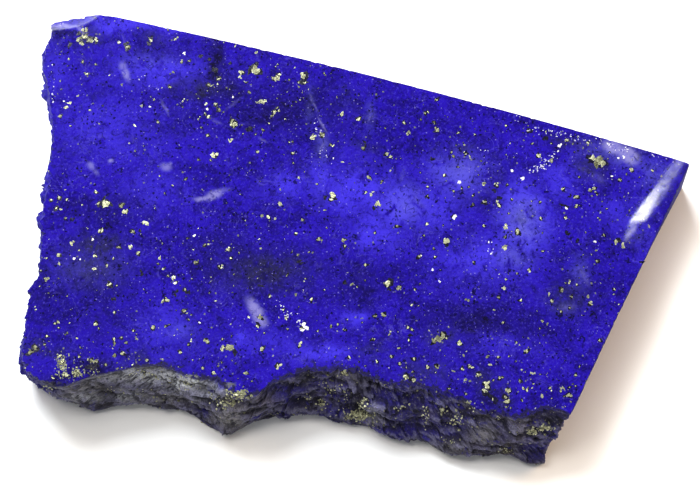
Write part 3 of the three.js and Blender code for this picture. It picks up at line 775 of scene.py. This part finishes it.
def lapis_blue(n):
    """The stone's colour: blue clouds with darker and greyer bands and paler patches, a few of them painted
    highlight and shade.
    """
    cloud = n.patches(0.36, 0.64, 3.2, 5.0, 0.62, 0.8)
    mottle = n.patches(0.36, 0.64, 0.9, 4.0, 0.66, 0.9, 5.0)
    grain = n.noise(0.24, 3.0, 0.65, 0.3, 39.0)
    colour = n.mix(cloud, paint(25, 5, 134), paint(44, 20, 196))
    colour = n.layer(colour, mottle, 0.6, paint(40, 14, 208))
    ragged = n.patches(0.24, 0.54, 1.3, 4.0, 0.65, 0.4, 9.0)
    bright = n.math("MULTIPLY", n.multiply(n.mark("bright"), ragged), 1.7, clamp=True)
    colour = n.mix(bright, colour, paint(72, 56, 255, BRIGHT_LIGHT))
    # Lilac: paler stone, and a painted highlight by the back edge near the right corner.
    colour = n.layer(colour, n.mark("lilac"), ragged, paint(116, 116, 238))
    veins = n.math("ABSOLUTE", n.math("SUBTRACT", n.noise(2.4, 4.0, 0.6, 0.6, 45.0), 0.5))
    veins = n.multiply(n.ramp(veins, 0.018, 0.0), n.patches(0.45, 0.65, 3.5, 2.0, 0.5, 0.0, 48.0))
    colour = n.layer(colour, veins, 0.35, paint(110, 100, 236))
    veiled = n.math("SUBTRACT", 1.6, n.multiply(ragged, 0.7))
    # Dark: darker stone, and painted shade in the hollow at the back left corner.
    dark = n.math("MULTIPLY", n.mark("dark"), veiled, clamp=True)
    colour = n.mix(dark, colour, paint(15, 9, 58))
    smoky = n.patches(0.24, 0.58, 0.8, 3.0, 0.6, 0.5, 27.0)
    olive = n.math("MULTIPLY", n.multiply(n.mark("olive"), smoky), 1.2, clamp=True)
    colour = n.mix(olive, colour, paint(50, 50, 74))
    blotch = n.patches(0.54, 0.66, 0.55, 4.0, 0.66, 0.7, 33.0)
    colour = n.layer(colour, blotch, 0.6, paint(14, 4, 88))
    colour = n.layer(colour, n.ramp(grain, 0.56, 0.74), 0.5, paint(88, 74, 244))
    return n.layer(colour, n.ramp(grain, 0.44, 0.28), 0.5, paint(12, 3, 84))


def speckled(n, colour):
    """Adds the small dark, pale and brassy specks that are everywhere in the stone."""
    few = n.scaled(n.patches(0.42, 0.66, 2.6, 2.0, 0.6, 0.3, 55.0), 0.36, 0.04)
    colour = n.layer(colour, n.dots(0.42, few, 0.04, 0.12, 3.0, 0.6), 0.85, paint(6, 3, 36))
    colour = n.layer(colour, n.dots(1.1, few, 0.08, 0.22, 11.0, 1.1), 0.8, paint(8, 5, 48))
    colour = n.layer(colour, n.dots(0.36, 0.1, 0.02, 0.06, 25.0), 0.75, paint(160, 152, 246))
    dusty = n.dots(0.33, n.scaled(n.mark("gold"), 0.5, 0.012), 0.03, 0.1, 37.0, 0.5)
    return n.layer(colour, dusty, 0.8, paint(138, 140, 112))


def fracture_colour(n, blue):
    """Broken stone: grey, violet and nearly black, with painted light on crests and painted shade in hollows.
    """
    body = n.patches(0.38, 0.62, 1.7, 4.0, 0.62, 0.5, 60.0)
    colour = n.mix(body, paint(38, 34, 54, SIDE_LIGHT), paint(27, 18, 86, SIDE_LIGHT))
    layers = (
        (n.mark("blue"), 0.9, (30, 18, 136)),
        (n.mark("grey"), 0.85, (136, 134, 136)),
        (n.math("MULTIPLY", n.mark("crust"), 1.2, clamp=True), 1.0, (206, 210, 216)),
        (n.mark("brown"), 0.75, (74, 68, 40)),
        # Painted light on the crests of the broken stone, and painted shade in its hollows.
        (n.ramp(n.mark("crest_shade"), 0.05, 0.7), 0.5, (122, 120, 150)),
        (n.ramp(n.mark("crest_shade"), 0.0, -0.6), 0.72, (11, 8, 28)),
        # Painted shade in the cracks and under the ledges.
        (n.ramp(n.mark("crack_shade"), 0.2, 1.0), 0.65, (9, 7, 22)),
        # Nearly black: dark stone, and painted shade in pits and recesses.
        (n.mark("black_and_shade"), 0.95, (6, 5, 13)),
        (n.patches(0.44, 0.6, 0.18, 3.0, 0.75, 0.0, 66.0), 0.5, (16, 13, 30)),
        (n.patches(0.56, 0.7, 0.24, 3.0, 0.75, 0.0, 69.0), 0.35, (116, 114, 126)),
    )
    for where, share, top in layers:
        colour = n.layer(colour, where, share, paint(*top, SIDE_LIGHT))
    show = n.multiply(n.patches(0.6, 0.7, 1.2, 3.0, 0.6, 0.3, 72.0), 0.5)
    show = n.math("MAXIMUM", show, n.mark("fresh"))
    bleeding = n.math("ADD", n.mark("edge"), n.noise(0.9, 3.0, 0.6, 0.4, 75.0))
    show = n.math("MAXIMUM", show, n.multiply(n.ramp(bleeding, 1.1, 1.4), 0.8))
    return n.mix(show, colour, blue)


def polished_material():
    """Polish, with calcite, painted reflections and painted highlights in it, and eaten into or crusted along
    the broken front.
    """
    n = Nodes("lapis_polished", "2D")
    # Calcite and painted reflections and highlights, laid on as pale lavender.
    core = n.ramp(n.mark("calcite_and_reflection"), 0.05, 0.9)
    frayed = n.multiply(core, n.patches(0.22, 0.56, 0.45, 4.0, 0.65, 0.6, 80.0))
    colour = n.layer(speckled(n, lapis_blue(n)), frayed, 0.9, paint(158, 154, 236))
    front = n.math("SUBTRACT", n.mark("edge"), n.mark("fresh"))
    ragged = n.multiply(n.noise(0.7, 4.0, 0.66, 0.5, 85.0), 2.2)
    eaten = n.ramp(n.math("ADD", front, ragged), 1.52, 1.9)
    colour = n.layer(colour, eaten, 0.88, paint(34, 30, 62))
    crusted = n.math("ADD", n.mark("crust"), n.noise(0.7, 4.0, 0.66, 0.5, 87.0))
    crusted = n.ramp(crusted, 0.85, 1.15)
    n.set(Base_Color=n.layer(colour, crusted, 0.85, paint(120, 122, 122)), IOR=1.5)
    dull = n.multiply(n.math("ADD", eaten, crusted), 0.1)
    dull = n.math("ADD", n.multiply(n.mark("chip"), 0.5), dull)
    gloss = n.uneven(0.06, 0.04, 0.6, 2.0, 0.6, 0.0, 90.0)
    n.set(Roughness=n.math("ADD", gloss, dull, clamp=True))
    n.set(Normal=n.bump(n.noise(1.6, 2.0, 0.5, 0.0, 101.0), 0.002, 0.3))
    return n.material


def unpolished_material():
    """Broken stone where the mark says so, and elsewhere the dull blue that a saw leaves."""
    n = Nodes("lapis_unpolished")
    blue = lapis_blue(n)
    broken = n.ramp(n.mark("broken"), 0.25, 0.75)
    wave = {"Vector": n.place, "Scale": 0.5, "Distortion": 2.5, "Detail": 3.0, "Detail Scale": 0.6}
    lines = n.add("TexWave", {"bands_direction": "DIAGONAL"}, wave).outputs["Fac"]
    sawn = n.layer(n.mix(0.4, blue, paint(36, 28, 112)), lines, 0.3, paint(20, 13, 84))
    n.set(Base_Color=speckled(n, n.mix(broken, sawn, fracture_colour(n, blue))), IOR=1.5)
    n.set(Specular_IOR_Level=0.2, Roughness=n.scaled(broken, -0.2, 0.8))
    saw_marks = n.bump(lines, 0.03, n.scaled(broken, -0.6, 0.6))
    n.set(Normal=n.bump(n.noise(0.3, 4.0, 0.7, 0.2, 95.0), 0.1, broken, saw_marks))
    return n.material


def pyrite_material():
    """Pale brass with a patina. A tint above 1 makes a crystal that is in shade paler still."""
    n = Nodes("pyrite")
    dull, pale = paint(104, 106, 78, PYRITE_LIGHT), paint(206, 207, 170, PYRITE_LIGHT)
    colour = n.mix(n.mark("tint"), dull, pale)
    colour.node.clamp_factor = False
    patina = n.patches(0.42, 0.62, 0.2, 3.0, 0.65, 0.3, 4.0)
    n.set(Base_Color=n.layer(colour, patina, 0.55, paint(90, 88, 52, PYRITE_LIGHT)), Metallic=0.6)
    n.set(Roughness=n.uneven(0.3, 0.2, 0.2, 2.0, 0.5, 0.0, 12.0))
    n.set(Normal=n.bump(n.noise(0.14, 3.0, 0.6, 0.0, 16.0), 0.05, 0.9))
    return n.material


def dark_material():
    n = Nodes("dark_mineral", "2D")
    cloud = n.patches(0.35, 0.7, 0.3, 3.0, 0.6, 0.0, 2.0)
    n.set(Base_Color=n.mix(cloud, paint(7, 4, 26), paint(16, 9, 62)))
    n.set(Roughness=n.uneven(0.14, 0.12, 0.2, 2.0, 0.5, 0.0, 6.0))
    return n.material


# White chips and glitter, partly painted glints.
def calcite_and_glint_material():
    n = Nodes("calcite_and_reflection")
    veiled, white = paint(160, 154, 238, CALCITE_LIGHT), paint(252, 252, 255, CALCITE_LIGHT)
    cloudy = n.ramp(n.noise(0.15, 3.0, 0.6), 0.5, 0.8, 0.4)
    n.set(Base_Color=n.mix(cloudy, n.mix(n.mark("tint"), veiled, white), paint(140, 132, 226)))
    n.set(Roughness=n.uneven(0.2, 0.2, 0.2, 2.0))
    return n.material


# Pieces made of many small closed shapes


class Grains:
    """Collects the points, faces and tints of many small closed shapes, in millimetres."""

    def __init__(self):
        self.points = []
        self.faces = []
        self.tints = []

    def add(self, points, faces, tint):
        first = len(self.points)
        self.points += [np.clip(p, LOW + 0.001, HIGH - 0.001) for p in points]
        self.faces += [[first + k for k in face] for face in faces]
        self.tints += [tint] * len(points)

    def piece(self, name, material, slot):
        mesh = bpy.data.meshes.new(name)
        mesh.from_pydata((np.array(self.points) * MM).tolist(), [], self.faces)
        mark(mesh, "tint", self.tints)
        return linked(name, mesh, material)


def mark(mesh, name, values):
    layer = mesh.attributes.new(name, "FLOAT", "POINT")
    layer.data.foreach_set("value", np.asarray(values, dtype=np.float32))


def linked(name, mesh, material):
    mesh.materials.append(material)
    piece = bpy.data.objects.new(name, mesh)
    bpy.context.scene.collection.objects.link(piece)
    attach(piece, "root")
    return piece


def frame_of(normal):
    """Two directions at right angles to a normal."""
    normal = Vector(normal)
    side = normal.cross(Vector((0, 1, 0))) if abs(normal.y) < 0.9 else normal.cross(Vector((1, 0, 0)))
    side.normalize()
    return np.array(side), np.array(normal.cross(side))


def turned(across, along, a, b, turn):
    """A step of a and b along two directions, once they are turned in their plane."""
    c, s = math.cos(turn), math.sin(turn)
    return across * (a * c - b * s) + along * (a * s + b * c)


def add_plate(grains, rng, centre, normal, radius, setting, tint=0.5, corners=(5, 9), stretch=1.3):
    """A grain cut flat by the polish: an irregular prism with a faceted top, sunk in the stone."""
    proud, depth = setting
    across, along = frame_of(normal)
    count = rng.randint(*corners)
    turn = rng.uniform(0, math.tau)
    longer = rng.uniform(1.0, stretch)
    ring = []
    for k in range(count):
        angle = math.tau * (k + rng.uniform(-0.32, 0.32)) / count
        reach = radius * rng.uniform(0.58, 1.24)
        a, b = reach * math.cos(angle) * longer, reach * math.sin(angle) / longer
        ring.append(turned(across, along, a, b, turn))
    top = [centre + p + normal * proud * rng.uniform(0.35, 0.8) for p in ring]
    bottom = [centre + p - normal * depth for p in ring]
    crown = centre + normal * proud + (ring[0] + ring[count // 2]) * 0.2
    faces = [[k, (k + 1) % count, 2 * count] for k in range(count)]
    faces += [[k, k + count, (k + 1) % count + count, (k + 1) % count] for k in range(count)]
    faces.append(list(range(2 * count - 1, count - 1, -1)))
    grains.add(top + bottom + [crown], faces, tint)


GOLDEN = (1 + math.sqrt(5)) / 2
CRYSTAL_POINTS = [np.array(p) / math.hypot(1, GOLDEN) for p in (
    (-1, GOLDEN, 0), (1, GOLDEN, 0), (-1, -GOLDEN, 0), (1, -GOLDEN, 0), (0, -1, GOLDEN), (0, 1, GOLDEN),
    (0, -1, -GOLDEN), (0, 1, -GOLDEN), (GOLDEN, 0, -1), (GOLDEN, 0, 1), (-GOLDEN, 0, -1), (-GOLDEN, 0, 1))]
CRYSTAL_FACES = [
    (0, 11, 5), (0, 5, 1), (0, 1, 7), (0, 7, 10), (0, 10, 11), (1, 5, 9), (5, 11, 4), (11, 10, 2), (10, 7, 6),
    (7, 1, 8), (3, 9, 4), (3, 4, 2), (3, 2, 6), (3, 6, 8), (3, 8, 9), (4, 9, 5), (2, 4, 11), (6, 2, 10),
    (8, 6, 7), (9, 8, 1)]


def add_crystal(grains, rng, centre, normal, radius, tint):
    """A small lumpy crystal, half sunk in the broken stone."""
    across, along = frame_of(normal)
    turn = rng.uniform(0, math.tau)
    wide = rng.uniform(0.8, 1.3)
    points = []
    for p in CRYSTAL_POINTS:
        p = p * radius * rng.uniform(0.75, 1.2)
        a, b = p[0] * wide, p[1] / wide
        points.append(centre + turned(across, along, a, b, turn) + normal * p[2] * 0.8)
    grains.add(points, CRYSTAL_FACES, tint)


class Stone:
    """The fine stone, to be hit by rays. Lengths are in millimetres."""

    def __init__(self, points, faces, polished_faces):
        self.tree = BVHTree.FromPolygons([Vector(p) for p in points], faces)
        self.polished_faces = polished_faces

    def seen(self, u, v):
        """Point, normal and whether it is polish, at a pixel of the photograph."""
        hit, normal, index, _ = self.tree.ray_cast(Vector(EYE), ray_through(u, v))
        if hit is None:
            return None
        return np.array(hit), np.array(normal), index < self.polished_faces

    def clear(self, spot, reach):
        """Whether the polish runs on for some way on all sides of a spot."""
        steps = ((reach, 0), (-reach, 0), (0, reach), (0, -reach))
        return all(self.above(spot[0] + dx, spot[1] + dy) for dx, dy in steps)

    def above(self, x, y):
        """Point and normal of the polish over a spot."""
        hit, normal, index, _ = self.tree.ray_cast(Vector((x, y, ABOVE)), Vector((0, 0, -1)))
        if hit is None or index >= self.polished_faces:
            return None
        return np.array(hit), np.array(normal)


def beside(rng, spot, spread, radius, scale):
    """A place near a spot, on the level."""
    return spot + np.array([rng.gauss(0, spread), rng.gauss(0, spread), 0]) * radius * scale


def rimmed_grain(pyrite, dark, rng, spot, normal, radius):
    """One grain of pyrite with the ragged dark mineral that it often has beside it in the polish."""
    pieces = 1 + rng.randint(0, 1) + int(radius > 0.2) * rng.randint(1, 3) + int(radius > 0.32) * 2
    if rng.random() < 0.75:
        for _ in range(2):
            turn = rng.uniform(0, math.tau)
            aside = np.array([math.cos(turn), math.sin(turn), 0]) * radius * rng.uniform(0.1, 0.75)
            size = radius * rng.uniform(0.7, 1.15) + 0.03
            add_plate(dark, rng, spot + aside, normal, size, DARK_SETTING, 0.5, (6, 11), 1.5)
    tint = rng.uniform(0.0, 1.0)
    spread = 0.34 if radius > 0.34 else 0.5
    share = 0.66 if pieces > 1 else 1.0
    for k in range(pieces):
        place = beside(rng, spot, 1, radius, spread if k else 0.0)
        setting = (rng.uniform(*GRAIN_PROUD), GRAIN_SUNK)
        shade = min(1.0, max(0.0, tint + rng.uniform(-0.35, 0.35)))
        size = radius * share * rng.uniform(0.7, 1.15)
        add_plate(pyrite, rng, place, normal, size, setting, shade, (4, 7), 1.5)


def face_grains(stone, rng):
    """Pyrite, dark mineral and white chips cut flat in the polish; the white chips are partly painted glints.
    """
    pyrite, dark, white = Grains(), Grains(), Grains()
    pixel = FACE_MM_PER_PIXEL
    for u, v, radius in BLACK_SPECKS:
        seen = stone.seen(u, v)
        if seen and seen[2] and stone.clear(seen[0], 1.3 * radius * pixel):
            for _ in range(2):
                spot = beside(rng, seen[0], 0.35, radius, pixel)
                size = radius * pixel * rng.uniform(0.5, 0.8)
                add_plate(dark, rng, spot, seen[1], size, SPECK_SETTING, 0.5, (7, 12), 1.6)
    placed = LARGE_GRAINS + [(u, v, rng.uniform(1.5, 2.5)) for u, v in SMALL_GRAINS]
    for u, v, radius in placed:
        seen = stone.seen(u, v)
        if seen and seen[2] and stone.clear(seen[0], radius * pixel):
            rimmed_grain(pyrite, dark, rng, seen[0], seen[1], radius * pixel)
    for _ in range(SCATTER_TRIES):
        x, y = rng.uniform(LOW[0], HIGH[0]), rng.uniform(LOW[1], HIGH[1])
        found = stone.above(x, y)
        if found is None:
            continue
        u, v = pixel_of(found[0][None])
        crowd = 0.3 + zone(u, v, CROWDED_ZONES)[0] + 0.5 * noise.noise(Vector((x / 5, y / 5, 4.0)))
        if rng.random() > crowd:
            continue
        radius = 0.04 + 0.13 * rng.random() ** 2.6
        if stone.clear(found[0], 1.8 * radius):
            rimmed_grain(pyrite, dark, rng, found[0], found[1], radius)
    # Glitter, partly painted glints.
    for u0, v0, u1, v1, count in GLITTER_AND_GLINT_LINES:
        for _ in range(count):
            share = rng.random()
            u = u0 + share * (u1 - u0) + rng.gauss(0, 2.0)
            v = v0 + share * (v1 - v0) + rng.gauss(0, 2.0)
            seen = stone.seen(u, v)
            if seen and stone.clear(seen[0], 0.15):
                size = rng.uniform(0.035, 0.1)
                add_plate(white, rng, seen[0], seen[1], size, GLITTER_AND_GLINT_SETTING, rng.random(), (3, 6))
    # White chips, partly painted glints.
    for u, v, radius in BRIGHT_CHIPS_AND_GLINTS:
        seen = stone.seen(u, v)
        if seen:
            for _ in range(2):
                spot = beside(rng, seen[0], 0.3, radius, pixel)
                size = radius * pixel * rng.uniform(0.55, 0.85)
                add_plate(white, rng, spot, seen[1], size, CHIP_SETTING, 1.0, (4, 7))
    pyrite.piece("pyrite_face_grains", pyrite_material(), "pyrite")
    dark.piece("dark_mineral_grains", dark_material(), "lapis")
    # The white chips are partly painted glints.
    white.piece("calcite_chips", calcite_and_glint_material(), "lapis")


def side_crystals(stone, points, faces, marks, rng):
    """Pyrite crystals on the broken sides, and flush grains on the sawn ones."""
    pyrite = Grains()
    for u, v, half_width, half_height, count, size in CRYSTAL_PATCHES:
        for _ in range(count):
            seen = stone.seen(u + rng.gauss(0, half_width * 0.55), v + rng.gauss(0, half_height * 0.55))
            if not seen:
                continue
            spot, normal, polish = seen
            radius = size * rng.uniform(0.45, 1.25)
            if polish:
                add_plate(pyrite, rng, spot, normal, radius, DUST_SETTING, 0.25 * rng.random())
            else:
                add_crystal(pyrite, rng, spot, normal, radius, rng.uniform(0.4, 2.2))
    for _ in range(SCATTERED_CRYSTALS):
        face = faces[rng.randrange(stone.polished_faces, len(faces))]
        corners = points[face]
        normal = np.cross(corners[1] - corners[0], corners[2] - corners[0])
        length = np.linalg.norm(normal)
        if length < 1e-6:
            continue
        spot, normal = corners.mean(axis=0), normal / length
        radius = 0.04 + 0.12 * rng.random() ** 2.2
        if marks["broken"][face[0]] > 0.5 and spot[2] > 0.1:
            add_crystal(pyrite, rng, spot, normal, radius, rng.uniform(0.1, 1.0))
        else:
            add_plate(pyrite, rng, spot, normal, radius * 1.4, SAWN_SETTING, rng.random())
    pyrite.piece("pyrite_side_crystals", bpy.data.materials["pyrite"], "pyrite")


def make_stone():
    tree = solid_tree(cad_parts[NODE])
    points, faces, polished_faces, marks = stone_mesh(tree)
    mesh = bpy.data.meshes.new("lapis_stone")
    mesh.from_pydata((points * MM).tolist(), [], faces)
    marks.update(colour_marks(points))
    for name, values in marks.items():
        mark(mesh, name, values)
    smooth = [k < polished_faces or marks["broken"][f[0]] < 0.5 for k, f in enumerate(faces)]
    mesh.polygons.foreach_set("use_smooth", smooth)
    rim = np.zeros(len(points), dtype=bool)
    rim[:COLUMNS] = True
    rim[np.where(points[:, 2] == 0)[0]] = True
    ends = np.zeros(len(mesh.edges) * 2, dtype=np.int32)
    mesh.edges.foreach_get("vertices", ends)
    both = rim[ends.reshape(-1, 2)].all(axis=1)
    mesh.attributes.new("sharp_edge", "BOOLEAN", "EDGE").data.foreach_set("value", both)
    piece = linked("lapis_stone", mesh, polished_material())
    mesh.materials.append(unpolished_material())
    mesh.polygons.foreach_set("material_index", [int(k >= polished_faces) for k in range(len(faces))])
    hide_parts(NODE)
    print("triangles", sum(len(p.vertices) - 2 for p in mesh.polygons))
    stone = Stone(points, faces, polished_faces)
    rng = random.Random(GRAIN_SEED)
    face_grains(stone, rng)
    side_crystals(stone, points, faces, marks, rng)


# Stage


def add_area(name, place, target, size, energy, colour):
    data = bpy.data.lights.new(name, "AREA")
    data.size = size
    data.energy = energy
    data.color = colour
    light = bpy.data.objects.new(name, data)
    light.location = Vector(place)
    light.rotation_euler = (Vector(target) - Vector(place)).to_track_quat("-Z", "Y").to_euler()
    light.visible_camera = False
    bpy.context.scene.collection.objects.link(light)
    return light


def add_streak(name, place, size, turn, energy):
    """A small oval light that shows as a streak where the polish rolls off."""
    light = add_area(name, place, STREAK_TARGET, size[0], energy, (1.0, 1.0, 1.0))
    light.data.shape = "ELLIPSE"
    light.data.size_y = size[1]
    light.rotation_euler.rotate_axis("Z", math.radians(turn))


def make_stage():
    floor_mesh = bpy.data.meshes.new("floor")
    half = FLOOR_HALF
    corners = [(-half, -half, 0), (half, -half, 0), (half, half, 0), (-half, half, 0)]
    floor_mesh.from_pydata(corners, [], [(0, 1, 2, 3)])
    floor = bpy.data.objects.new("floor", floor_mesh)
    bpy.context.scene.collection.objects.link(floor)
    n = Nodes("floor")
    n.set(Base_Color=n.mix(n.noise(40.0, 2.0), (0.88, 0.88, 0.88, 1), (0.9, 0.9, 0.9, 1)))
    n.set(Roughness=0.9)
    floor_mesh.materials.append(n.material)
    for name, place, size, energy, colour, mirrored in LIGHTS:
        add_area(name, place, (0, 0, 0), size, energy, colour).visible_glossy = mirrored
    add_streak("gloss", (0.197, 0.1224, 0.567), (0.087, 0.0125), 11.9, 0.13)
    add_streak("soft_gloss", (0.1942, 0.1602, 0.56), (0.07, 0.016), 6.6, 0.026)
    world = bpy.data.worlds.new("world")
    world.use_nodes = True
    background = world.node_tree.nodes["Background"]
    background.inputs["Color"].default_value = (0.95, 0.97, 1.0, 1)
    background.inputs["Strength"].default_value = WORLD_LIGHT
    bpy.context.scene.world = world
    bpy.context.scene.view_settings.view_transform = "Standard"


make_camera()
make_stone()
make_stage()
